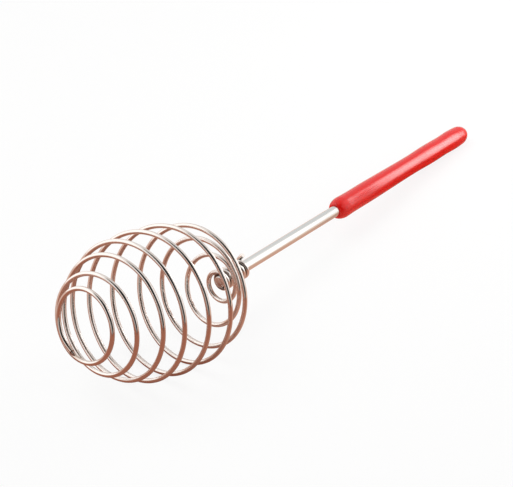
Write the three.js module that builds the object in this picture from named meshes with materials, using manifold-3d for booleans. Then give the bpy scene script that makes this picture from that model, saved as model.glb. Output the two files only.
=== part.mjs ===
// Spring ball whisk: one steel wire wound into a ball on the end of a rod with a dipped vinyl grip.
// Millimetres, +Z up. The whisk lies on the floor z = 0, on its ball and on the end of its grip,
// with the shank along +X and the nose of the ball towards -X.
import * as THREE from 'three';
import loadManifold from 'manifold-3d';

// Shank rod
const ROD_DIAMETER = 5;
const ROD_CHAMFER = 0.4;
const BARE_ROD = 88.5; // from the rod's front end to the mouth of the grip

// Grip sleeve, its places measured from its mouth or from its closed end
const GRIP_LENGTH = 113.8;
const GRIP_END_WALL = 4.5;
const GRIP_BORE_ROUNDING = 0.2;
const GRIP_LIP_DIAMETER = 9.85;
const GRIP_LIP_LENGTH = 5.4;
const GRIP_NECK_DIAMETER = 9.55;
const GRIP_NECK_FROM_MOUTH = 10.5;
const GRIP_NECK_LENGTH = 15;
const GRIP_WAIST_DIAMETER = 8.8;
const GRIP_WAIST_FROM_END = 48.3;
const GRIP_SWELL_DIAMETER = 9.3;
const GRIP_SWELL_FROM_END = 33.3;
const GRIP_DIP_DIAMETER = 9.05;
const GRIP_DIP_FROM_END = 20.8;
const GRIP_HEEL_DIAMETER = 9.4;
const GRIP_HEEL_FROM_END = 11.8;
const GRIP_DOME_DIAMETER = 9;
const GRIP_DOME_LENGTH = 6.7;

// Spring wire and its close winding on the rod
const WIRE_DIAMETER = 2;
const WINDING_SETBACK = 1.2; // from the rod's front end to the middle of the foremost turn
const WINDING_GAP = 0.6; // between neighbouring turns
const FRONT_TURNS = 2.2; // close turns behind the rod's front end
const BARE_STEP = 3.4; // extra step that leaves the rod bare between the two groups
const COLLAR_TURNS = 1.7; // close turns behind the bare step
const TAIL_RISE = 2.2; // how far the cut end of the wire stands off the winding
const TAIL_TURN = 0.14; // share of a turn in which it rises

// The ball, turn by turn: how far the wire lies in front of the rod's end, and from the ball's axis
const TURN_1_REACH = 1.5;
const TURN_1_RADIUS = 11;
const TURN_2_REACH = 9;
const TURN_2_RADIUS = 19.5;
const TURN_3_REACH = 14;
const TURN_3_RADIUS = 26.5;
const TURN_4_REACH = 27.5;
const TURN_4_RADIUS = 29.5;
const TURN_5_REACH = 41;
const TURN_5_RADIUS = 30;
const TURN_6_REACH = 54;
const TURN_6_RADIUS = 29;
const TURN_7_REACH = 62.5;
const TURN_7_RADIUS = 25.5;
const TURN_8_REACH = 72.5;
const TURN_8_RADIUS = 20.5;
const NOSE_TURN = 8.53; // where the end of the wire is welded on, one turn later
const NOSE_REACH = 77.3;
const NOSE_RADIUS = 16.2;
const LEAVE_ANGLE = 122; // degrees from +Y towards +Z, where the wire leaves the rod
const HEAD_RISE = 6.7; // degrees that the ball's axis rises from the shank's line
const HEAD_SWING = 7.1; // degrees that it swings to the side

// Nose: the last turn is closed on itself by a weld
const SEAM_GAP = 0.9; // between the end of the wire and the turn that it is welded to
const SEAM_ANGLE = 61; // degrees from straight ahead to straight inwards, where the end lies
const WELD_LENGTH = 5.6;
const WELD_WIDTH = 4.6;
const WELD_HEIGHT = 3;

// Clearance that neighbouring pieces keep
const FIT_GAP = 0.3;

// Facets
const ROUND_STEPS = 32;
const WIRE_SIDES = 8;
const WINDING_STEPS = 20;
const BALL_STEPS = 36;

const { degToRad } = THREE.MathUtils;
const rodRadius = ROD_DIAMETER / 2;
const wireRadius = WIRE_DIAMETER / 2;
const windingRadius = rodRadius + FIT_GAP + wireRadius;
const windingPitch = WIRE_DIAMETER + WINDING_GAP;
const gripEnd = BARE_ROD + GRIP_LENGTH;
const boreEnd = gripEnd - GRIP_END_WALL;
const rodLength = boreEnd - FIT_GAP;
const tailStart = -(FRONT_TURNS + 1 + COLLAR_TURNS);

const steel = new THREE.MeshStandardMaterial({ color: 0xc9c7c3, roughness: 0.18, metalness: 1 });
const weldSteel = new THREE.MeshStandardMaterial({ color: 0x8c8078, roughness: 0.5, metalness: 1 });
const redVinyl = new THREE.MeshStandardMaterial({ color: 0xcf1f22, roughness: 0.28, metalness: 0 });

// Outline of the grip, as radius against distance from the rod's front end
function gripProfile() {
  const boreRadius = rodRadius + FIT_GAP;
  const lipStart = boreRadius + GRIP_BORE_ROUNDING;
  const lipHeight = GRIP_LIP_DIAMETER / 2 - lipStart;
  const neckStart = BARE_ROD + GRIP_NECK_FROM_MOUTH;
  const domeStart = gripEnd - GRIP_DOME_LENGTH;
  const domeRadius = GRIP_DOME_DIAMETER / 2;
  const outline = new THREE.Path();
  outline.moveTo(0, boreEnd);
  outline.lineTo(boreRadius, boreEnd);
  outline.lineTo(boreRadius, BARE_ROD + GRIP_BORE_ROUNDING);
  outline.lineTo(lipStart, BARE_ROD);
  outline.absellipse(
    lipStart, BARE_ROD + GRIP_LIP_LENGTH, lipHeight, GRIP_LIP_LENGTH,
    1.5 * Math.PI, 2 * Math.PI, false, 0,
  );
  outline.splineThru([
    new THREE.Vector2(GRIP_NECK_DIAMETER / 2, neckStart),
    new THREE.Vector2(GRIP_NECK_DIAMETER / 2, neckStart + GRIP_NECK_LENGTH),
    new THREE.Vector2(GRIP_WAIST_DIAMETER / 2, gripEnd - GRIP_WAIST_FROM_END),
    new THREE.Vector2(GRIP_SWELL_DIAMETER / 2, gripEnd - GRIP_SWELL_FROM_END),
    new THREE.Vector2(GRIP_DIP_DIAMETER / 2, gripEnd - GRIP_DIP_FROM_END),
    new THREE.Vector2(GRIP_HEEL_DIAMETER / 2, gripEnd - GRIP_HEEL_FROM_END),
    new THREE.Vector2(domeRadius, domeStart),
  ]);
  outline.absellipse(0, domeStart, domeRadius, GRIP_DOME_LENGTH, 0, Math.PI / 2, false, 0);
  return outline.getPoints(5);
}

// Outline of the rod with both edges broken
function rodProfile() {
  return [
    new THREE.Vector2(0, 0),
    new THREE.Vector2(rodRadius - ROD_CHAMFER, 0),
    new THREE.Vector2(rodRadius, ROD_CHAMFER),
    new THREE.Vector2(rodRadius, rodLength - ROD_CHAMFER),
    new THREE.Vector2(rodRadius - ROD_CHAMFER, rodLength),
    new THREE.Vector2(0, rodLength),
  ];
}

// A solid of revolution about the shank's line
function turned(profile) {
  return new THREE.LatheGeometry(profile, ROUND_STEPS).rotateZ(-Math.PI / 2);
}

const ballRows = [
  { turn: -1, reach: -WINDING_SETBACK - windingPitch, radius: windingRadius },
  { turn: 0, reach: -WINDING_SETBACK, radius: windingRadius },
  { turn: 1, reach: TURN_1_REACH, radius: TURN_1_RADIUS },
  { turn: 2, reach: TURN_2_REACH, radius: TURN_2_RADIUS },
  { turn: 3, reach: TURN_3_REACH, radius: TURN_3_RADIUS },
  { turn: 4, reach: TURN_4_REACH, radius: TURN_4_RADIUS },
  { turn: 5, reach: TURN_5_REACH, radius: TURN_5_RADIUS },
  { turn: 6, reach: TURN_6_REACH, radius: TURN_6_RADIUS },
  { turn: 7, reach: TURN_7_REACH, radius: TURN_7_RADIUS },
  { turn: 8, reach: TURN_8_REACH, radius: TURN_8_RADIUS },
  { turn: NOSE_TURN, reach: NOSE_REACH, radius: NOSE_RADIUS },
];
const ballCurve = new THREE.CubicInterpolant(
  ballRows.map((row) => row.turn),
  ballRows.flatMap((row) => [row.reach, row.radius]),
  2,
);

// Reach and radius of the wire on the rod, from its cut tail to the foremost turn
function windingStation(turn) {
  const bare = THREE.MathUtils.smoothstep(-turn, FRONT_TURNS, FRONT_TURNS + 1);
  const rising = THREE.MathUtils.clamp(1 - (turn - tailStart) / TAIL_TURN, 0, 1);
  return {
    reach: -WINDING_SETBACK + windingPitch * turn - BARE_STEP * bare,
    radius: windingRadius + TAIL_RISE * rising ** 2,
  };
}

// Reach and radius of the wire at any turn: winding, ball, then the nose turn that ends beside its start
function wireStation(turn) {
  if (turn < 0) return windingStation(turn);
  const [reach, radius] = ballCurve.evaluate(Math.min(turn, NOSE_TURN));
  const drawnIn = 1 - (1 - Math.max(turn - NOSE_TURN, 0)) ** 3;
  const seam = (WIRE_DIAMETER + SEAM_GAP) * drawnIn;
  return {
    reach: reach + seam * Math.cos(degToRad(SEAM_ANGLE)),
    radius: radius - seam * Math.sin(degToRad(SEAM_ANGLE)),
  };
}

const headTurn = new THREE.Euler(0, degToRad(HEAD_RISE), degToRad(-HEAD_SWING), 'ZYX');
const headAxis = new THREE.Vector3(-1, 0, 0).applyEuler(headTurn);

// Share of the head's lean at a turn: the winding is straight on the rod, the ball leans
function leaning(turn) {
  return THREE.MathUtils.smoothstep(turn, 0, 1);
}

// Middle of the wire at any turn, in the shank's own frame
function wirePoint(turn) {
  const { reach, radius } = wireStation(turn);
  const angle = degToRad(LEAVE_ANGLE) - 2 * Math.PI * turn;
  const straight = new THREE.Vector3(-reach, radius * Math.cos(angle), radius * Math.sin(angle));
  const leant = straight.clone().applyEuler(headTurn);
  return straight.lerp(leant, leaning(turn));
}

// Turns at which a stretch of wire gets a ring of points
function wireTurns(from, to, stepsPerTurn) {
  const count = Math.max(1, Math.round((to - from) * stepsPerTurn));
  return Array.from({ length: count + 1 }, (_, i) => from + ((to - from) * i) / count);
}

// A closed round tube along the wire, of any radius, through the turns given
function wireTube(turns, tubeRadius) {
  const ringDirections = Array.from({ length: WIRE_SIDES }, (_, k) => (2 * Math.PI * k) / WIRE_SIDES);
  const middles = turns.map(wirePoint);
  const points = [];
  const faces = [];
  turns.forEach((turn, i) => {
    const along = wirePoint(turn + 1e-4).sub(wirePoint(turn - 1e-4)).normalize();
    const outward = new THREE.Vector3().crossVectors(headAxis, along).normalize();
    const sideways = new THREE.Vector3().crossVectors(along, outward);
    for (const angle of ringDirections) {
      const offset = outward.clone().multiplyScalar(tubeRadius * Math.cos(angle));
      offset.addScaledVector(sideways, tubeRadius * Math.sin(angle));
      points.push(middles[i].clone().add(offset));
    }
  });
  const startMiddle = points.push(middles[0]) - 1;
  const endMiddle = points.push(middles.at(-1)) - 1;
  const lastRing = (turns.length - 1) * WIRE_SIDES;
  for (let k = 0; k < WIRE_SIDES; k++) {
    const next = (k + 1) % WIRE_SIDES;
    for (let ring = 0; ring < lastRing; ring += WIRE_SIDES) {
      faces.push(ring + k, ring + next, ring + WIRE_SIDES + next);
      faces.push(ring + k, ring + WIRE_SIDES + next, ring + WIRE_SIDES + k);
    }
    faces.push(startMiddle, next, k);
    faces.push(endMiddle, lastRing + k, lastRing + next);
  }
  return new THREE.BufferGeometry().setFromPoints(points).setIndex(faces);
}

// Least gap of the whole wire to itself, between points at least half a turn apart
function leastWireGap() {
  const turns = wireTurns(tailStart, NOSE_TURN + 1, BALL_STEPS);
  const middles = turns.map(wirePoint);
  let least = Infinity;
  for (let i = 0; i < turns.length; i++) {
    for (let j = i + Math.round(BALL_STEPS / 2); j < turns.length; j++) {
      least = Math.min(least, middles[i].distanceTo(middles[j]));
    }
  }
  return least - WIRE_DIAMETER;
}

const { Manifold, Mesh } = await loadManifold().then((library) => {
  library.setup();
  return library;
});

function toManifold(geometry) {
  return new Manifold(new Mesh({
    numProp: 3,
    vertProperties: new Float32Array(geometry.getAttribute('position').array),
    triVerts: new Uint32Array(geometry.getIndex().array),
  }));
}

function fromManifold(solid) {
  const mesh = solid.getMesh();
  const geometry = new THREE.BufferGeometry();
  geometry.setAttribute('position', new THREE.BufferAttribute(mesh.vertProperties, mesh.numProp));
  geometry.setIndex(new THREE.BufferAttribute(mesh.triVerts, 1));
  return geometry;
}

// Weld bead that fills between the wire's end and the turn beside it, with room for both wires
function weldGeometry() {
  const beside = wirePoint(NOSE_TURN);
  const end = wirePoint(NOSE_TURN + 1);
  const along = wirePoint(NOSE_TURN + 1e-3).sub(wirePoint(NOSE_TURN - 1e-3)).normalize();
  const across = end.clone().sub(beside).normalize();
  const upright = new THREE.Vector3().crossVectors(along, across).normalize();
  across.crossVectors(upright, along);
  const place = new THREE.Matrix4().makeBasis(along, across, upright);
  place.setPosition(end.clone().lerp(beside, 0.5));
  const bead = Manifold.sphere(0.5, ROUND_STEPS / 2)
    .scale([WELD_LENGTH, WELD_WIDTH, WELD_HEIGHT])
    .transform(place.toArray());
  const reachTurns = WELD_LENGTH / (2 * Math.PI * NOSE_RADIUS);
  const room = wireRadius + FIT_GAP;
  const nearStart = wireTurns(NOSE_TURN - reachTurns, NOSE_TURN + reachTurns, 4 * BALL_STEPS);
  const nearEnd = wireTurns(NOSE_TURN + 1 - reachTurns, NOSE_TURN + 1 + reachTurns, 4 * BALL_STEPS);
  const rooms = Manifold.union([nearStart, nearEnd].map((turns) => toManifold(wireTube(turns, room))));
  return fromManifold(bead.subtract(rooms));
}

// Angle at which the grip's end drops to the floor that the ball stands on
function lieAngle(wireMiddles, gripOutline) {
  const ballLow = (a) => Math.min(
    ...wireMiddles.map((p) => p.z * Math.cos(a) - p.x * Math.sin(a) - wireRadius),
  );
  const gripLow = (a) => Math.min(
    ...gripOutline.map((p) => -p.y * Math.sin(a) - p.x * Math.cos(a)),
  );
  let low = 0;
  let high = Math.PI / 4;
  for (let i = 0; i < 40; i++) {
    const middle = (low + high) / 2;
    if (gripLow(middle) > ballLow(middle)) low = middle;
    else high = middle;
  }
  return (low + high) / 2;
}

function piece(name, geometry, material) {
  const mesh = new THREE.Mesh(geometry, material);
  mesh.name = name;
  return mesh;
}

const seamSlit = FIT_GAP / (2 * Math.PI * NOSE_RADIUS);
const springTurns = [
  ...wireTurns(tailStart, 0, WINDING_STEPS).slice(0, -1),
  ...wireTurns(0, NOSE_TURN, BALL_STEPS),
];
const noseTurns = wireTurns(NOSE_TURN + seamSlit, NOSE_TURN + 1, BALL_STEPS);
const gripOutline = gripProfile();

const whisk = new THREE.Group();
whisk.add(
  piece('shank_rod', turned(rodProfile()), steel),
  piece('grip', turned(gripOutline), redVinyl),
  piece('spring_wire', wireTube(springTurns, wireRadius), steel),
  piece('nose_ring', wireTube(noseTurns, wireRadius), steel),
  piece('nose_weld', weldGeometry(), weldSteel),
);

// Lay the whisk down and centre its footprint on the origin
whisk.rotation.y = lieAngle(wireTurns(0, NOSE_TURN + 1, BALL_STEPS).map(wirePoint), gripOutline);
whisk.updateMatrixWorld(true);
const box = new THREE.Box3().setFromObject(whisk, true);
const middle = box.getCenter(new THREE.Vector3());
whisk.position.set(-middle.x, -middle.y, -box.min.z);

console.log(`least gap of the spring wire to itself: ${leastWireGap().toFixed(2)} mm`);

const part = new THREE.Group();
part.add(whisk);

export default part;
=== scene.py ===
import math

import bmesh
import bpy
import numpy as np
from bpy.props import FloatProperty, FloatVectorProperty, IntProperty, PointerProperty
from mathutils import Euler, Matrix, Vector, kdtree


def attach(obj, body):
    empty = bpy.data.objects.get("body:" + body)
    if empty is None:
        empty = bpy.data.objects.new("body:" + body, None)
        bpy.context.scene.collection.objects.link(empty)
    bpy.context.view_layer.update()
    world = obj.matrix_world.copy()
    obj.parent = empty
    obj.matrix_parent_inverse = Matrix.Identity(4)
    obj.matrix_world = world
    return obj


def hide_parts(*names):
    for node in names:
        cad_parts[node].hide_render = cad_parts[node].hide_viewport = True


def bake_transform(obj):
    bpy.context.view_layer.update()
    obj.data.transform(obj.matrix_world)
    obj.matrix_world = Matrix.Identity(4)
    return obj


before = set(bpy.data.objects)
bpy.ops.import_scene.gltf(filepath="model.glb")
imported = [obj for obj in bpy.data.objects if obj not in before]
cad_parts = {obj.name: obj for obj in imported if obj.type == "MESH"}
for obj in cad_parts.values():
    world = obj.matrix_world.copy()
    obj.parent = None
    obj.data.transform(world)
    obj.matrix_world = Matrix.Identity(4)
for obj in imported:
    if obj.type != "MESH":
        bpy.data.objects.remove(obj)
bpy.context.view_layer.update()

bl_info = {
    "name": "Spring ball whisk",
    "version": (1, 0, 0),
    "blender": (4, 5, 0),
    "location": "3D View > Sidebar > Whisk",
    "description": "Dresses the whisk's CAD frame: wire ball, rod, weld, vinyl grip and studio",
    "category": "Add Mesh",
}

MM = 0.001


def linear(hex_colour):
    """Linear RGB of an sRGB hex colour."""
    channels = [int(hex_colour[i:i + 2], 16) / 255 for i in (1, 3, 5)]
    return tuple(c / 12.92 if c <= 0.04045 else ((c + 0.055) / 1.055) ** 2.4 for c in channels)


def length(name, description, millimetres):
    """A length property, given in millimetres and held in metres."""
    return FloatProperty(
        name=name, description=description, default=millimetres * MM, unit="LENGTH", precision=5,
    )


def colour(name, description, hex_colour):
    """A colour property, given as sRGB hex and held as linear light."""
    return FloatVectorProperty(
        name=name, description=description, default=linear(hex_colour),
        subtype="COLOR", size=3, min=0, max=1,
    )


class WhiskRodSettings(bpy.types.PropertyGroup):
    """Sizes and colours of the shank rod."""

    diameter: length("Diameter", "Diameter of the round steel rod", 5)
    bare: length("Bare length", "From the rod's front end to the mouth of the grip", 88.5)
    end_rounding: length("End rounding", "Rounding of the rod's cut edges", 0.4)
    steel: colour("Steel", "Colour of the polished rod", "#E6E4E0")


class WhiskWireSettings(bpy.types.PropertyGroup):
    """Sizes and colours of the spring wire."""

    diameter: length("Diameter", "Diameter of the spring wire", 2)
    setback: length("Setback", "From the rod's end to the middle of the foremost close turn", 1.2)
    pitch: length("Close pitch", "Step of one close turn on the rod", 2.6)
    bare_step: length("Bare step", "Extra step that leaves the rod bare between the close turns", 3.4)
    tail_rise: length("Tail rise", "How far the cut tail stands off the winding", 2.2)
    seam_gap: length("Seam gap", "Between the wire's end and the turn it is welded to", 0.05)
    front_turns: FloatProperty(
        name="Front turns", description="Close turns behind the rod's end", default=2.2,
    )
    collar_turns: FloatProperty(
        name="Collar turns", description="Close turns of the collar", default=1.7,
    )
    leave_angle: FloatProperty(
        name="Leave angle", description="Where the wire leaves the rod, from the side towards the top",
        default=math.radians(122), subtype="ANGLE",
    )
    head_rise: FloatProperty(
        name="Head rise", description="How far the ball's axis rises from the rod's line",
        default=math.radians(6.7), subtype="ANGLE",
    )
    head_swing: FloatProperty(
        name="Head swing", description="How far the ball's axis swings to the side",
        default=math.radians(7.1), subtype="ANGLE",
    )
    steel: colour("Steel", "Colour of the bright drawn wire", "#E6DED8")
    heat_tint: colour("Heat tint", "Straw tint of the steel beside the weld", "#B79C88")
    # Painted shade: a dark colour laid on the wire in the creases of the close turns
    crease_shade: colour("Film", "Dark film in the creases of the close turns", "#4A4543")


class WhiskWeldSettings(bpy.types.PropertyGroup):
    """Sizes and colours of the nose weld."""

    length: length("Length", "Length of the weld bead along the wire", 3.6)
    width: length("Width", "Width of the weld bead across both wires", 2.4)
    height: length("Height", "Height of the weld bead", 1.6)
    steel: colour("Steel", "Colour of the dull weld metal", "#C2B8B0")
    scale: colour("Scale", "Colour of the scale on the weld metal", "#857A72")


class WhiskGripSettings(bpy.types.PropertyGroup):
    """Sizes and colours of the dipped vinyl grip."""

    length: length("Length", "Length of the grip", 113.8)
    end_wall: length("End wall", "Thickness of the closed end", 4.5)
    bore_gap: length("Bore gap", "Gap round the rod at the mouth", 0.05)
    lip_diameter: length("Lip diameter", "Outer diameter of the rounded lip", 9.85)
    lip_length: length("Lip length", "Length of the rounding at the mouth", 5.4)
    neck_diameter: length("Neck diameter", "Outer diameter behind the lip", 9.55)
    neck_from_mouth: length("Neck place", "From the mouth to the neck", 10.5)
    neck_length: length("Neck length", "Length over which the neck stays even", 15)
    waist_diameter: length("Waist diameter", "Outer diameter at the waist", 8.8)
    waist_from_end: length("Waist place", "From the closed end to the waist", 48.3)
    swell_diameter: length("Swell diameter", "Outer diameter of the swell behind the waist", 9.3)
    swell_from_end: length("Swell place", "From the closed end to the swell", 33.3)
    dip_diameter: length("Dip diameter", "Outer diameter of the shallow dip", 9.05)
    dip_from_end: length("Dip place", "From the closed end to the dip", 20.8)
    heel_diameter: length("Heel diameter", "Outer diameter of the heel", 9.4)
    heel_from_end: length("Heel place", "From the closed end to the heel", 11.8)
    dome_diameter: length("Dome diameter", "Outer diameter where the rounded end begins", 9)
    dome_length: length("Dome length", "Length of the rounded end", 6.7)
    vinyl: colour("Vinyl", "Colour of the red vinyl", "#E81710")
    vinyl_deep: colour("Deep vinyl", "Colour where the vinyl lies thicker", "#DC110C")


class WhiskStageSettings(bpy.types.PropertyGroup):
    """The studio and the camera."""

    camera_place: FloatVectorProperty(
        name="Camera place", description="Camera from the point on the floor under the rod's front end",
        default=(-633.3 * MM, -462.0 * MM, 530.7 * MM), subtype="TRANSLATION", size=3, unit="LENGTH",
    )
    camera_aim: FloatVectorProperty(
        name="Camera aim", description="Direction in which the camera looks",
        default=(0.6958, 0.4867, -0.5281), subtype="DIRECTION", size=3,
    )
    focal_pixels: FloatProperty(
        name="Focal length", description="Focal length in pixels of the picture", default=2250,
    )
    picture_width: IntProperty(
        name="Picture width", description="Width of the picture in pixels", default=513,
    )
    floor: colour("Floor", "Colour of the pale floor", "#FAFAF9")
    clay: colour("Clay sheet", "Sheet on the table that only reflections see", "#AC705B")
    clay_lit: colour("Lit clay sheet", "The same sheet on the side where it is lit", "#DCB09C")
    clay_far: colour("Far clay sheet", "The same sheet far off on the camera's side", "#8A6255")
    clay_pale: colour("Pale clay sheet", "The same sheet far off behind the whisk", "#E8C8BA")
    clay_sheen: colour("Sheen on the clay sheet", "The same sheet where it mirrors the window", "#F8E0D0")
    clay_shade: colour("Shade on the clay sheet", "The same sheet in the shade of the ball", "#8E5A49")
    dark_screen: colour("Dark strip", "Dark strip beside the camera that only reflections see", "#222223")
    room: colour("Room", "Room behind the camera that only reflections see", "#BAB6B3")
    grey_screen: colour("Grey screen", "Screen behind the grip that only reflections see", "#E3E6E8")
    ceiling: colour("Ceiling", "Ceiling that only reflections see", "#D8D5D2")


def add_node(tree, kind, inputs=None, links=None, **settings):
    """Adds a node with its settings, input values and incoming links."""
    node = tree.nodes.new(kind)
    for name, value in settings.items():
        setattr(node, name, value)
    for socket, value in (inputs or {}).items():
        node.inputs[socket].default_value = value
    for socket, source in (links or {}).items():
        tree.links.new(source, node.inputs[socket])
    return node


def new_material(name):
    """An empty node material and its tree."""
    material = bpy.data.materials.new(name)
    material.use_nodes = True
    material.node_tree.nodes.clear()
    return material, material.node_tree


def rgba(value):
    """A colour property with full alpha."""
    return (*value, 1.0)


def shank_line():
    """The middle of the rod's front end and the rod's direction, from the CAD rod."""
    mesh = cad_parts["shank_rod"].data
    points = np.array([v.co for v in mesh.vertices], float)
    middle = points.mean(axis=0)
    direction = np.linalg.svd(points - middle, full_matrices=False)[2][0]
    direction *= np.sign(direction[0])
    along = points @ direction
    front = points[along < along.min() + 0.05 * MM]
    return Vector(front.mean(axis=0)), Vector(direction)


SHANK_TIP, SHANK_DIRECTION = shank_line()
LIE_ANGLE = math.atan2(-SHANK_DIRECTION.z, SHANK_DIRECTION.x)
SHANK_PLACE = Matrix.Translation(SHANK_TIP) @ Matrix.Rotation(LIE_ANGLE, 4, "Y")

# Sides towards which the Y of a card or lamp points
UP = Vector((0, 0, 1))
WINDOW_UP = Vector((0, 0.743, 0.669))
GRIP_UP = Vector((0, 0.611, 0.79))
STRIP_UP = Vector((-0.352, 0.583, 0.732))
SHADE_UP = Vector((0.742, 0.346, 0.574))
CEILING_UP = Vector((0, 1, 0))


def aimed(place, target, up):
    """A placement whose -Z looks from a place at a target, with its Y towards a given side."""
    back = (place - target).normalized()
    side = up.cross(back).normalized()
    turn = Matrix((side, back.cross(side), back)).transposed()
    return Matrix.Translation(place) @ turn.to_4x4()


def finish_piece(name, bm, material, smooth_angle=math.radians(40)):
    """Turns a bmesh in the row frame into a shaded object at the origin."""
    mesh = bpy.data.meshes.new(name)
    bm.to_mesh(mesh)
    bm.free()
    mesh.materials.append(material)
    mesh.polygons.foreach_set("use_smooth", [True] * len(mesh.polygons))
    mesh.set_sharp_from_angle(angle=smooth_angle)
    piece = bpy.data.objects.new(name, mesh)
    bpy.context.scene.collection.objects.link(piece)
    return piece


def spun(outline, steps):
    """A solid of revolution about the shank's line from (distance, radius) points."""
    bm = bmesh.new()
    verts = [bm.verts.new((x, 0, r)) for x, r in outline]
    edges = [bm.edges.new(pair) for pair in zip(verts, verts[1:])]
    bmesh.ops.spin(
        bm, geom=verts + edges, cent=(0, 0, 0), axis=(1, 0, 0), dvec=(0, 0, 0),
        angle=2 * math.pi, steps=steps, use_merge=True, use_normal_flip=False, use_duplicate=False,
    )
    bmesh.ops.remove_doubles(bm, verts=bm.verts, dist=0.001 * MM)
    bmesh.ops.recalc_face_normals(bm, faces=bm.faces)
    return bm


def oval(middle, sizes, start, end, steps):
    """Points (distance, radius) on part of an oval; 0 degrees points along the shank, 90 outwards."""
    angles = [math.radians(start + (end - start) * i / steps) for i in range(steps + 1)]
    return [(middle[0] + sizes[0] * math.cos(a), middle[1] + sizes[1] * math.sin(a)) for a in angles]


# Turn, reach in front of the rod's end and radius about the ball's axis, in millimetres
BALL_TURNS = (
    (1, 1.5, 11), (2, 9, 19.5), (3, 14, 26.5), (4, 27.5, 29.5), (5, 41, 30), (6, 54, 29),
    (7, 62.5, 25.5), (8, 72.5, 20.5), (8.53, 77.3, 16.2),
)
NOSE_TURN = BALL_TURNS[-1][0]
TAIL_TURN = 0.14
SEAM_ANGLE = math.radians(61)

# Steps of the wire's path in one turn, close on the rod and in the ball
CLOSE_STEPS, BALL_STEPS = 40, 96
# Strength, near end and far end of the tint beside the weld and of the painted crease shade about the rod's
# line
HEAT = (0.6, 2 * MM, 9 * MM)
CREASE_SHADE = (0.85, 3.3 * MM, 4.45 * MM)
# Scales of the drawing lines round the wire, in radii, and along it, in metres
LINES_ROUND, LINES_ALONG = 4, 25
# Vertices of the rod and of the grip in one round
ROD_STEPS, GRIP_STEPS = 64, 96
# Light of the world on matte surfaces, and how far the floor is lifted to white for the camera
WORLD_FILL = 0.38
FLOOR_LIFT = 0.85


def smoothstep(value, low, high):
    """Smooth rise from 0 at low to 1 at high."""
    t = min(max((value - low) / (high - low), 0), 1)
    return t * t * (3 - 2 * t)


def fading(distance, strength, near, far):
    """Full strength up to the near distance, nothing beyond the far one."""
    return strength * (1 - smoothstep(distance, near, far))


def smooth_through(rows, at):
    """Values between rows of (place, values), with slopes that pass smoothly through each row."""
    k = max(i for i in range(len(rows) - 1) if rows[i][0] <= at or i == 0)
    (t0, *low), (t1, *high) = rows[k], rows[k + 1]
    before = rows[k - 1] if k > 0 else None
    after = rows[k + 2] if k + 2 < len(rows) else None
    p = (at - t0) / (t1 - t0)
    values = []
    for i in range(len(low)):
        rise = high[i] - low[i]
        start = rise if before is None else (
            rise + (low[i] - before[i + 1]) * (t1 - t0) / (t0 - before[0])
        ) / 2
        end = rise if after is None else (
            rise + (after[i + 1] - high[i]) * (t1 - t0) / (after[0] - t1)
        ) / 2
        values.append(
            low[i] + start * p + (3 * rise - 2 * start - end) * p ** 2 + (start + end - 2 * rise) * p ** 3
        )
    return values


class WirePath:
    """Middle of the spring wire, counted in turns from the place where it leaves the rod."""

    def __init__(self, wire, rod):
        self.wire = wire
        self.on_rod = rod.diameter / 2 + wire.diameter / 2
        self.tail = -(wire.front_turns + 1 + wire.collar_turns)
        self.rows = [
            (-1, -wire.setback - wire.pitch, self.on_rod),
            (0, -wire.setback, self.on_rod),
            *[(turn, reach * MM, radius * MM) for turn, reach, radius in BALL_TURNS],
        ]
        self.head = Euler((0, wire.head_rise, -wire.head_swing), "ZYX").to_matrix()

    def station(self, turn):
        """Reach and radius of the wire at any turn: winding, ball, then the nose turn."""
        wire = self.wire
        if turn < 0:
            bare = smoothstep(-turn, wire.front_turns, wire.front_turns + 1)
            rising = min(max(1 - (turn - self.tail) / TAIL_TURN, 0), 1)
            reach = -wire.setback + wire.pitch * turn - wire.bare_step * bare
            return reach, self.on_rod + wire.tail_rise * rising ** 2
        reach, radius = smooth_through(self.rows, min(turn, NOSE_TURN))
        drawn_in = 1 - (1 - max(turn - NOSE_TURN, 0)) ** 3
        seam = (wire.diameter + wire.seam_gap) * drawn_in
        return reach + seam * math.cos(SEAM_ANGLE), radius - seam * math.sin(SEAM_ANGLE)

    def point(self, turn):
        """Middle of the wire in the row frame."""
        reach, radius = self.station(turn)
        angle = self.wire.leave_angle - 2 * math.pi * turn
        straight = Vector((-reach, radius * math.cos(angle), radius * math.sin(angle)))
        return SHANK_PLACE @ straight.lerp(self.head @ straight, smoothstep(turn, 0, 1))

    def direction(self, turn):
        """Direction of the wire in the row frame, towards the nose."""
        return (self.point(turn + 1e-4) - self.point(turn - 1e-4)).normalized()


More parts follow.
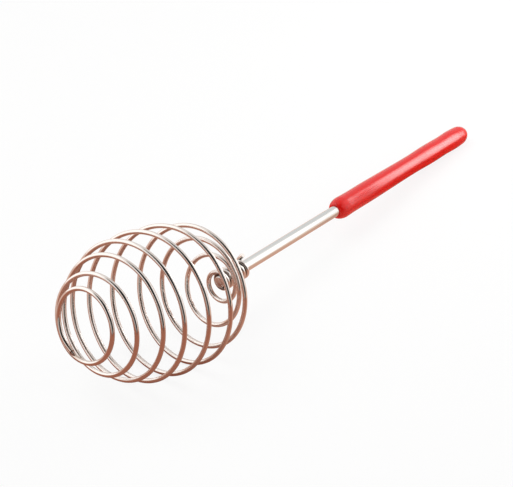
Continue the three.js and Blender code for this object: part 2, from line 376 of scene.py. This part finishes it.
def polished_wire(wire):
    """Bright drawn spring steel: the die leaves fine lines along the wire, handling leaves faint
    smears that dull the mirror in places, the heat of the weld leaves a brown tint, and painted shade
    darkens the creases where the close turns lie on the rod."""
    material, tree = new_material("Bright drawn spring steel")
    lines_at = add_node(tree, "ShaderNodeAttribute", attribute_name="die_lines")
    lines = add_node(
        tree, "ShaderNodeTexNoise", inputs={"Scale": 3.0, "Detail": 3.0, "Roughness": 0.6},
        links={"Vector": lines_at.outputs["Vector"]},
    )
    place = add_node(tree, "ShaderNodeTexCoord")
    smears = add_node(
        tree, "ShaderNodeTexNoise", inputs={"Scale": 1 / (9 * MM), "Detail": 2.0, "Roughness": 0.55},
        links={"Vector": place.outputs["Object"]},
    )
    dulling = add_node(
        tree, "ShaderNodeMapRange",
        inputs={"From Min": 0.35, "From Max": 0.7, "To Min": 0.07, "To Max": 0.13},
        links={"Value": smears.outputs["Fac"]},
    )
    heat = add_node(tree, "ShaderNodeAttribute", attribute_name="weld_heat")
    tint = add_node(
        tree, "ShaderNodeMix", data_type="RGBA", inputs={"A": rgba(wire.steel), "B": rgba(wire.heat_tint)},
        links={"Factor": heat.outputs["Fac"]},
    )
    # Painted shade: darkens the wire in the creases where the close turns lie on the rod
    crease_shade = add_node(tree, "ShaderNodeAttribute", attribute_name="painted_crease_shade")
    tint = add_node(
        tree, "ShaderNodeMix", data_type="RGBA", inputs={"B": rgba(wire.crease_shade)},
        links={"Factor": crease_shade.outputs["Fac"], "A": tint.outputs["Result"]},
    )
    bump = add_node(
        tree, "ShaderNodeBump", inputs={"Strength": 0.12, "Distance": 0.02 * MM},
        links={"Height": lines.outputs["Fac"]},
    )
    shader = add_node(
        tree, "ShaderNodeBsdfPrincipled", inputs={"Metallic": 1.0},
        links={
            "Base Color": tint.outputs["Result"], "Roughness": dulling.outputs["Result"],
            "Normal": bump.outputs["Normal"],
        },
    )
    add_node(tree, "ShaderNodeOutputMaterial", links={"Surface": shader.outputs["BSDF"]})
    return material


def polished_rod(rod):
    """Polished round bar: long polishing lines run along it, and faint smears dull it a little in places.
    """
    material, tree = new_material("Polished steel bar")
    place = add_node(tree, "ShaderNodeTexCoord")
    stretch = add_node(
        tree, "ShaderNodeMapping",
        inputs={"Rotation": (0, -LIE_ANGLE, 0), "Scale": (1 / (40 * MM), 1 / (0.5 * MM), 1 / (0.5 * MM))},
        links={"Vector": place.outputs["Object"]},
    )
    lines = add_node(
        tree, "ShaderNodeTexNoise", inputs={"Scale": 1.0, "Detail": 3.0, "Roughness": 0.6},
        links={"Vector": stretch.outputs["Vector"]},
    )
    smears = add_node(
        tree, "ShaderNodeTexNoise", inputs={"Scale": 1 / (14 * MM), "Detail": 2.0, "Roughness": 0.5},
        links={"Vector": place.outputs["Object"]},
    )
    dulling = add_node(
        tree, "ShaderNodeMapRange",
        inputs={"From Min": 0.3, "From Max": 0.7, "To Min": 0.12, "To Max": 0.2},
        links={"Value": smears.outputs["Fac"]},
    )
    bump = add_node(
        tree, "ShaderNodeBump", inputs={"Strength": 0.1, "Distance": 0.02 * MM},
        links={"Height": lines.outputs["Fac"]},
    )
    shader = add_node(
        tree, "ShaderNodeBsdfPrincipled", inputs={"Base Color": rgba(rod.steel), "Metallic": 1.0},
        links={"Roughness": dulling.outputs["Result"], "Normal": bump.outputs["Normal"]},
    )
    add_node(tree, "ShaderNodeOutputMaterial", links={"Surface": shader.outputs["BSDF"]})
    return material


def weld_metal(weld):
    """Resistance weld left as it cooled: dull, slightly rough and scaled."""
    material, tree = new_material("Dull weld steel")
    place = add_node(tree, "ShaderNodeTexCoord")
    scale = add_node(
        tree, "ShaderNodeTexNoise", inputs={"Scale": 1 / (0.8 * MM), "Detail": 4.0, "Roughness": 0.6},
        links={"Vector": place.outputs["Object"]},
    )
    tone = add_node(
        tree, "ShaderNodeMix", data_type="RGBA",
        inputs={"A": rgba(weld.steel), "B": rgba(weld.scale)},
        links={"Factor": scale.outputs["Fac"]},
    )
    bump = add_node(
        tree, "ShaderNodeBump", inputs={"Strength": 0.4, "Distance": 0.1 * MM},
        links={"Height": scale.outputs["Fac"]},
    )
    shader = add_node(
        tree, "ShaderNodeBsdfPrincipled", inputs={"Metallic": 1.0, "Roughness": 0.42},
        links={"Base Color": tone.outputs["Result"], "Normal": bump.outputs["Normal"]},
    )
    add_node(tree, "ShaderNodeOutputMaterial", links={"Surface": shader.outputs["BSDF"]})
    return material


def red_vinyl(grip):
    """Dip-moulded soft vinyl: a glossy skin with a faint orange peel, slow waves where it ran before it
    set, and a slightly deeper red where it lies thicker."""
    material, tree = new_material("Dip-moulded red vinyl")
    place = add_node(tree, "ShaderNodeTexCoord")
    waves = add_node(
        tree, "ShaderNodeTexNoise", inputs={"Scale": 1 / (12 * MM), "Detail": 1.0, "Roughness": 0.4},
        links={"Vector": place.outputs["Object"]},
    )
    peel = add_node(
        tree, "ShaderNodeTexNoise", inputs={"Scale": 1 / (0.9 * MM), "Detail": 2.0, "Roughness": 0.5},
        links={"Vector": place.outputs["Object"]},
    )
    tone = add_node(
        tree, "ShaderNodeMix", data_type="RGBA",
        inputs={"A": rgba(grip.vinyl), "B": rgba(grip.vinyl_deep)},
        links={"Factor": waves.outputs["Fac"]},
    )
    gloss = add_node(
        tree, "ShaderNodeMapRange",
        inputs={"From Min": 0.3, "From Max": 0.7, "To Min": 0.14, "To Max": 0.19},
        links={"Value": waves.outputs["Fac"]},
    )
    peel_bump = add_node(
        tree, "ShaderNodeBump", inputs={"Strength": 0.06, "Distance": 0.02 * MM},
        links={"Height": peel.outputs["Fac"]},
    )
    wave_bump = add_node(
        tree, "ShaderNodeBump", inputs={"Strength": 0.2, "Distance": 0.2 * MM},
        links={"Height": waves.outputs["Fac"], "Normal": peel_bump.outputs["Normal"]},
    )
    shader = add_node(
        tree, "ShaderNodeBsdfPrincipled", inputs={"IOR": 1.46},
        links={
            "Base Color": tone.outputs["Result"], "Roughness": gloss.outputs["Result"],
            "Normal": wave_bump.outputs["Normal"],
        },
    )
    add_node(tree, "ShaderNodeOutputMaterial", links={"Surface": shader.outputs["BSDF"]})
    return material


class WHISK_OT_make_rod(bpy.types.Operator):
    """Make the polished shank rod with its rounded cut ends"""

    bl_idname = "whisk.make_rod"
    bl_label = "Make rod"

    def execute(self, context):
        rod = context.scene.whisk_rod
        grip = context.scene.whisk_grip
        rod_end = rod.bare + grip.length - grip.end_wall
        radius = rod.diameter / 2
        r = rod.end_rounding
        outline = [(0, 0), *oval((r, radius - r), (r, r), 180, 90, 4)]
        outline += [*oval((rod_end - r, radius - r), (r, r), 90, 0, 4), (rod_end, 0)]
        bm = spun(outline, ROD_STEPS)
        bmesh.ops.transform(bm, matrix=SHANK_PLACE, verts=bm.verts)
        piece = finish_piece("polished_rod", bm, polished_rod(rod))
        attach(piece, "handle")
        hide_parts("shank_rod")
        return {"FINISHED"}


class WHISK_OT_make_wire(bpy.types.Operator):
    """Wind the one unbroken spring wire: tail, close turns on the rod, ball and nose"""

    bl_idname = "whisk.make_wire"
    bl_label = "Make spring wire"

    def execute(self, context):
        wire = context.scene.whisk_wire
        path = WirePath(wire, context.scene.whisk_rod)
        end = NOSE_TURN + 1
        turns = [*np.arange(path.tail, 0, 1 / CLOSE_STEPS), *np.arange(0, end, 1 / BALL_STEPS), end]
        middles = [path.point(t) for t in turns]
        curve = bpy.data.curves.new("spring_wire_path", "CURVE")
        curve.dimensions = "3D"
        curve.bevel_depth = wire.diameter / 2
        curve.bevel_resolution = 6
        curve.use_fill_caps = True
        spline = curve.splines.new("POLY")
        spline.points.add(len(middles) - 1)
        spline.points.foreach_set("co", [c for p in middles for c in (*p, 1)])
        holder = bpy.data.objects.new("spring_wire_path", curve)
        context.scene.collection.objects.link(holder)
        tube = bpy.data.meshes.new_from_object(holder.evaluated_get(context.evaluated_depsgraph_get()))
        bpy.data.objects.remove(holder)
        bm = bmesh.new()
        bm.from_mesh(tube)
        bmesh.ops.remove_doubles(bm, verts=bm.verts, dist=0.001 * MM)
        bmesh.ops.recalc_face_normals(bm, faces=bm.faces)
        piece = finish_piece("spring_wire", bm, polished_wire(wire))
        bpy.data.meshes.remove(tube)
        self.mark_surface(piece.data, path, turns, middles)
        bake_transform(piece)
        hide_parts("spring_wire", "nose_ring")
        return {"FINISHED"}

    def mark_surface(self, mesh, path, turns, middles):
        """Marks each point with its place round and along the wire, and its nearness to weld and rod."""
        tree = kdtree.KDTree(len(middles))
        for i, middle in enumerate(middles):
            tree.insert(middle, i)
        tree.balance()
        steps = [0.0] + [(b - a).length for a, b in zip(middles, middles[1:])]
        along = np.cumsum(steps)
        weld_at = path.point(NOSE_TURN)
        to_shank = SHANK_PLACE.inverted()
        lines, heat, crease_shade = [], [], []
        for v in mesh.vertices:
            middle, i, _ = tree.find(v.co)
            out = (v.co - middle) / (path.wire.diameter / 2)
            lines.extend((
                out.dot(path.head.col[0]) * LINES_ROUND,
                out.cross(path.direction(turns[i])).x * LINES_ROUND,
                along[i] * LINES_ALONG,
            ))
            heat.append(fading((v.co - weld_at).length, *HEAT))
            # Painted shade in the creases: full close to the rod's line, fading away from it
            x, y, z = to_shank @ v.co
            crease_shade.append(fading(math.hypot(min(x, 0), y, z), *CREASE_SHADE))
        mesh.attributes.new("die_lines", "FLOAT_VECTOR", "POINT").data.foreach_set("vector", lines)
        mesh.attributes.new("weld_heat", "FLOAT", "POINT").data.foreach_set("value", heat)
        mesh.attributes.new("painted_crease_shade", "FLOAT", "POINT").data.foreach_set("value", crease_shade)


class WHISK_OT_make_weld(bpy.types.Operator):
    """Make the small weld bead that closes the nose turn"""

    bl_idname = "whisk.make_weld"
    bl_label = "Make nose weld"

    def execute(self, context):
        weld = context.scene.whisk_weld
        path = WirePath(context.scene.whisk_wire, context.scene.whisk_rod)
        beside, end = path.point(NOSE_TURN), path.point(NOSE_TURN + 1)
        along = path.direction(NOSE_TURN)
        across = (end - beside).normalized()
        upright = along.cross(across).normalized()
        across = upright.cross(along)
        bm = bmesh.new()
        bmesh.ops.create_icosphere(bm, subdivisions=4, radius=0.5)
        for v in bm.verts:
            ripple = math.sin(11 * v.co.x + 2) * math.sin(9 * v.co.y + 1)
            ripple += 0.6 * math.sin(17 * v.co.x + 5 * v.co.z)
            v.co *= 1 + 0.05 * ripple
        bmesh.ops.scale(bm, vec=(weld.length, weld.width, weld.height), verts=bm.verts)
        place = Matrix((along, across, upright)).transposed().to_4x4()
        place.translation = (beside + end) / 2
        bmesh.ops.transform(bm, matrix=place, verts=bm.verts)
        piece = finish_piece("nose_weld_bead", bm, weld_metal(weld))
        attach(piece, "nose")
        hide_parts("nose_weld")
        return {"FINISHED"}


class WHISK_OT_make_grip(bpy.types.Operator):
    """Make the dipped vinyl grip with its rounded lip, waist, swell and blunt end"""

    bl_idname = "whisk.make_grip"
    bl_label = "Make grip"

    def execute(self, context):
        rod = context.scene.whisk_rod
        grip = context.scene.whisk_grip
        mouth, end = rod.bare, rod.bare + grip.length
        bore = rod.diameter / 2 + grip.bore_gap
        lip = mouth + grip.lip_length
        neck = mouth + grip.neck_from_mouth
        dome = end - grip.dome_length
        body = [
            (lip, grip.lip_diameter / 2),
            (neck, grip.neck_diameter / 2),
            (neck + grip.neck_length, grip.neck_diameter / 2),
            (end - grip.waist_from_end, grip.waist_diameter / 2),
            (end - grip.swell_from_end, grip.swell_diameter / 2),
            (end - grip.dip_from_end, grip.dip_diameter / 2),
            (end - grip.heel_from_end, grip.heel_diameter / 2),
            (dome, grip.dome_diameter / 2),
        ]
        outline = [(end - grip.end_wall, 0), (end - grip.end_wall, bore)]
        outline += oval((lip, bore), (grip.lip_length, grip.lip_diameter / 2 - bore), 180, 90, 14)
        outline += [(x, *smooth_through(body, x)) for x in np.linspace(lip, dome, 80)[1:-1]]
        outline += oval((dome, 0), (grip.dome_length, grip.dome_diameter / 2), 90, 0, 16)
        bm = spun(outline, GRIP_STEPS)
        bmesh.ops.transform(bm, matrix=SHANK_PLACE, verts=bm.verts)
        piece = finish_piece("vinyl_grip", bm, red_vinyl(grip))
        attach(piece, "handle")
        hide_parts("grip")
        return {"FINISHED"}


class WHISK_OT_make_stage(bpy.types.Operator):
    """Set up the pale floor, the soft studio light, the reflector cards and the camera"""

    bl_idname = "whisk.make_stage"
    bl_label = "Make stage"

    def execute(self, context):
        stage = context.scene.whisk_stage
        context.scene.view_settings.view_transform = "Standard"
        self.make_world(context)
        self.make_floor(stage)
        self.make_cards(stage)
        self.make_lamps(context)
        self.make_camera(context, stage)
        return {"FINISHED"}

    def make_world(self, context):
        """White to the camera and in reflections, plain soft fill for everything else."""
        world = bpy.data.worlds.new("Studio")
        world.use_nodes = True
        tree = world.node_tree
        tree.nodes.clear()
        rays = add_node(tree, "ShaderNodeLightPath")
        seen = add_node(
            tree, "ShaderNodeMath", operation="MAXIMUM",
            links={0: rays.outputs["Is Camera Ray"], 1: rays.outputs["Is Glossy Ray"]},
        )
        shown = add_node(
            tree, "ShaderNodeMath", operation="MAXIMUM",
            links={0: seen.outputs[0], 1: rays.outputs["Is Transmission Ray"]},
        )
        fill = add_node(
            tree, "ShaderNodeBackground", inputs={"Color": (1, 1, 1, 1), "Strength": WORLD_FILL},
        )
        white = add_node(tree, "ShaderNodeBackground", inputs={"Color": (1, 1, 1, 1), "Strength": 1.0})
        mix = add_node(
            tree, "ShaderNodeMixShader",
            links={0: shown.outputs[0], 1: fill.outputs[0], 2: white.outputs[0]},
        )
        add_node(tree, "ShaderNodeOutputWorld", links={"Surface": mix.outputs[0]})
        context.scene.world = world

    def make_floor(self, stage):
        """A pale floor that stays white to the camera and keeps a soft shadow."""
        material, tree = new_material("Pale floor")
        rays = add_node(tree, "ShaderNodeLightPath")
        seen = add_node(
            tree, "ShaderNodeMath", operation="MAXIMUM",
            links={0: rays.outputs["Is Camera Ray"], 1: rays.outputs["Is Glossy Ray"]},
        )
        lift = add_node(
            tree, "ShaderNodeMath", operation="MULTIPLY", inputs={1: FLOOR_LIFT},
            links={0: seen.outputs[0]},
        )
        matte = add_node(tree, "ShaderNodeBsdfDiffuse", inputs={"Color": rgba(stage.floor)})
        glow = add_node(tree, "ShaderNodeEmission", inputs={"Color": (1, 1, 1, 1), "Strength": 1.0})
        mix = add_node(
            tree, "ShaderNodeMixShader",
            links={0: lift.outputs[0], 1: matte.outputs[0], 2: glow.outputs[0]},
        )
        add_node(tree, "ShaderNodeOutputMaterial", links={"Surface": mix.outputs[0]})
        self.make_sheet("floor", material, (3.0, 3.0), Matrix.Identity(4))

    def make_sheet(self, name, material, size, place):
        """A flat stage sheet."""
        bm = bmesh.new()
        bm.loops.layers.uv.new("across")
        bmesh.ops.create_grid(bm, x_segments=1, y_segments=1, size=0.5, calc_uvs=True)
        bmesh.ops.scale(bm, vec=(*size, 1), verts=bm.verts)
        bmesh.ops.transform(bm, matrix=place, verts=bm.verts)
        sheet = finish_piece(name, bm, material)
        return sheet

    def make_cards(self, stage):
        """Cards that only reflections see: window, screens round the whisk, ceiling and clay sheet."""
        white = linear("#FFFFFF")
        dark = stage.dark_screen
        # Name, place, target, side of its Y, size, soft edges, colour and strength
        cards = (
            (
                "grip_window", (0.24, -0.074, 0.062), (0.1, 0, 0.008), GRIP_UP,
                (0.096, 0.23), (0.8, 1), white, 8.6,
            ),
            (
                "rod_window", (0.26, -0.245, 0.2), (0, 0, 0.02), WINDOW_UP,
                (0.27, 0.54), (0.45, 0.2), white, 1.4,
            ),
            ("white_screen", (-0.4, 0.89, 0.65), (-0.24, 0, 0.65), UP, (1.7, 1.7), (0.3, 0.3), white, 1.4),
            (
                "grey_screen", (0.82, 0.3, 0.45), (0, 0, 0.45), UP,
                (1.0, 0.9), (0.3, 0.3), stage.grey_screen, 1,
            ),
            (
                "dark_strip", (-0.411, -0.548, 0.25), (-0.1, 0, 0), STRIP_UP,
                (1.05, 1.3), (0.9, 0.2), dark, 1,
            ),
            (
                "dark_shade", (-0.49, -0.182, 0.647), (-0.1, 0, 0.033), SHADE_UP,
                (1.15, 1.15), (0.4, 0.2), dark, 1,
            ),
            ("room", (-0.74, -0.64, 0.35), (-0.1, 0, 0.35), UP, (4.0, 1.1), (0.3, 0.2), stage.room, 1),
            (
                "ceiling", (-0.25, -0.1, 0.95), (-0.25, -0.1, 0), CEILING_UP,
                (1.9, 1.1), (0.3, 0.3), stage.ceiling, 1,
            ),
        )
        for name, place, target, up, size, soft, tone, strength in cards:
            card = self.make_card(name, size, aimed(Vector(place), Vector(target), up))
            tree = card.data.materials[0].node_tree
            light = add_node(tree, "ShaderNodeEmission", inputs={"Color": rgba(tone), "Strength": strength})
            clear = add_node(tree, "ShaderNodeBsdfTransparent")
            shown = add_node(
                tree, "ShaderNodeMixShader",
                links={0: self.soft_edges(tree, soft).outputs[0], 1: clear.outputs[0], 2: light.outputs[0]},
            )
            add_node(tree, "ShaderNodeOutputMaterial", links={"Surface": shown.outputs[0]})
        self.make_clay(stage)

    def soft_edges(self, tree, soft):
        """Full in a card's middle, falling away over shares of its half width and half height."""
        place = add_node(tree, "ShaderNodeTexCoord")
        sides = add_node(tree, "ShaderNodeSeparateXYZ", links={0: place.outputs["UV"]})
        falls = []
        for axis, share in zip("XY", soft):
            inside = add_node(
                tree, "ShaderNodeMath", operation="PINGPONG", inputs={1: 0.5},
                links={0: sides.outputs[axis]},
            )
            falls.append(add_node(
                tree, "ShaderNodeMapRange", interpolation_type="SMOOTHSTEP",
                inputs={"From Max": share / 2}, links={"Value": inside.outputs[0]},
            ))
        return add_node(
            tree, "ShaderNodeMath", operation="MULTIPLY",
            links={0: falls[0].outputs["Result"], 1: falls[1].outputs["Result"]},
        )

    def make_clay(self, stage):
        """Clay sheet on the table: lit beside the rod, pale behind, shaded by the ball and the grip."""
        sheet = self.make_card("clay_sheet", (2.8, 2.8), Matrix.Translation((0, 0, 0.1 * MM)))
        tree = sheet.data.materials[0].node_tree
        place = add_node(tree, "ShaderNodeTexCoord")
        tone = rgba(stage.clay)
        # Direction across the sheet, where the change begins and ends along it, and the new colour
        ranges = (
            ((0.94, 0.342, 0), -0.14, -0.04, stage.clay_lit),
            ((-0.57, -0.82, 0), 0.3, 0.6, stage.clay_far),
            ((0, 1, 0), 0.09, 0.2, stage.clay_pale),
            ((0.94, -0.34, 0), 0.025, 0.09, stage.clay_sheen),
        )
        mixed = None
        for axis, low, high, other in ranges:
            across = add_node(
                tree, "ShaderNodeVectorMath", operation="DOT_PRODUCT", inputs={1: axis},
                links={0: place.outputs["Object"]},
            )
            share = add_node(
                tree, "ShaderNodeMapRange", inputs={"From Min": low, "From Max": high},
                links={"Value": across.outputs["Value"]},
            )
            links = {"Factor": share.outputs["Result"]}
            if mixed:
                links["A"] = mixed.outputs["Result"]
            mixed = add_node(
                tree, "ShaderNodeMix", data_type="RGBA", inputs={"A": tone, "B": rgba(other)}, links=links,
            )
        # Middle of a shade, its flattening, and where it begins and ends to fade
        shades = (
            ((-0.1, 0), 1, 0.015, 0.05),
            ((0.105, -0.02), 0.42, 0.012, 0.036),
        )
        for (x, y), flattening, low, high in shades:
            across = add_node(
                tree, "ShaderNodeMapping",
                inputs={"Location": (-x * flattening, -y, 0), "Scale": (flattening, 1, 1)},
                links={"Vector": place.outputs["Object"]},
            )
            away = add_node(
                tree, "ShaderNodeVectorMath", operation="LENGTH", links={0: across.outputs["Vector"]},
            )
            lit = add_node(
                tree, "ShaderNodeMapRange", inputs={"From Min": low, "From Max": high},
                links={"Value": away.outputs["Value"]},
            )
            mixed = add_node(
                tree, "ShaderNodeMix", data_type="RGBA", inputs={"A": rgba(stage.clay_shade)},
                links={"Factor": lit.outputs["Result"], "B": mixed.outputs["Result"]},
            )
        light = add_node(tree, "ShaderNodeEmission", links={"Color": mixed.outputs["Result"]})
        add_node(tree, "ShaderNodeOutputMaterial", links={"Surface": light.outputs[0]})

    def make_card(self, name, size, place):
        """A flat card that is seen only in reflections."""
        material, _ = new_material(name.replace("_", " ").capitalize())
        card = self.make_sheet(name, material, size, place)
        card.visible_camera = False
        card.visible_diffuse = False
        card.visible_shadow = False
        card.visible_transmission = False
        return card

    def make_lamps(self, context):
        """Soft lamps at the window and overhead; the cards stand in for them in reflections."""
        lamps = (
            ("window_softbox", (0.47, -0.205, 0.235), (0.12, 0, 0.01), WINDOW_UP, (0.18, 0.36), 1.6),
            ("top_softbox", (-0.3, 0.35, 1.0), (0, 0, 0), UP, (0.8, 0.8), 6.5),
        )
        for name, place, target, up, size, power in lamps:
            light = bpy.data.lights.new(name, "AREA")
            light.shape = "RECTANGLE"
            light.size, light.size_y = size
            light.energy = power
            lamp = bpy.data.objects.new(name, light)
            lamp.matrix_world = aimed(Vector(place), Vector(target), up)
            lamp.visible_camera = False
            lamp.visible_glossy = False
            context.scene.collection.objects.link(lamp)

    def make_camera(self, context, stage):
        """The camera at the photograph's place."""
        camera_data = bpy.data.cameras.new("photo_camera")
        camera_data.sensor_fit = "HORIZONTAL"
        camera_data.sensor_width = 36
        camera_data.lens = camera_data.sensor_width * stage.focal_pixels / stage.picture_width
        camera_data.clip_start = 0.01
        camera = bpy.data.objects.new("photo_camera", camera_data)
        place = Vector((SHANK_TIP.x, SHANK_TIP.y, 0)) + Vector(stage.camera_place)
        camera.matrix_world = aimed(place, place + Vector(stage.camera_aim), UP)
        context.scene.collection.objects.link(camera)
        context.scene.camera = camera


class WHISK_PT_pieces(bpy.types.Panel):
    """Lists the whisk's pieces and their settings"""

    bl_idname = "WHISK_PT_pieces"
    bl_label = "Spring ball whisk"
    bl_space_type = "VIEW_3D"
    bl_region_type = "UI"
    bl_category = "Whisk"

    def draw(self, context):
        for operator, group in PANEL_ROWS:
            box = self.layout.box()
            box.operator(operator.bl_idname)
            settings = getattr(context.scene, group)
            for name in settings.__annotations__:
                box.prop(settings, name)


PANEL_ROWS = (
    (WHISK_OT_make_rod, "whisk_rod"),
    (WHISK_OT_make_wire, "whisk_wire"),
    (WHISK_OT_make_weld, "whisk_weld"),
    (WHISK_OT_make_grip, "whisk_grip"),
    (WHISK_OT_make_stage, "whisk_stage"),
)
SETTINGS = {
    "whisk_rod": WhiskRodSettings,
    "whisk_wire": WhiskWireSettings,
    "whisk_weld": WhiskWeldSettings,
    "whisk_grip": WhiskGripSettings,
    "whisk_stage": WhiskStageSettings,
}
CLASSES = (*SETTINGS.values(), *[operator for operator, _ in PANEL_ROWS], WHISK_PT_pieces)


def register():
    for cls in CLASSES:
        bpy.utils.register_class(cls)
    for name, group in SETTINGS.items():
        setattr(bpy.types.Scene, name, PointerProperty(type=group))


def unregister():
    for name in SETTINGS:
        delattr(bpy.types.Scene, name)
    for cls in reversed(CLASSES):
        bpy.utils.unregister_class(cls)


def main():
    register()
    bpy.ops.whisk.make_rod()
    bpy.ops.whisk.make_wire()
    bpy.ops.whisk.make_weld()
    bpy.ops.whisk.make_grip()
    bpy.ops.whisk.make_stage()


if __name__ == "__main__":
    main()
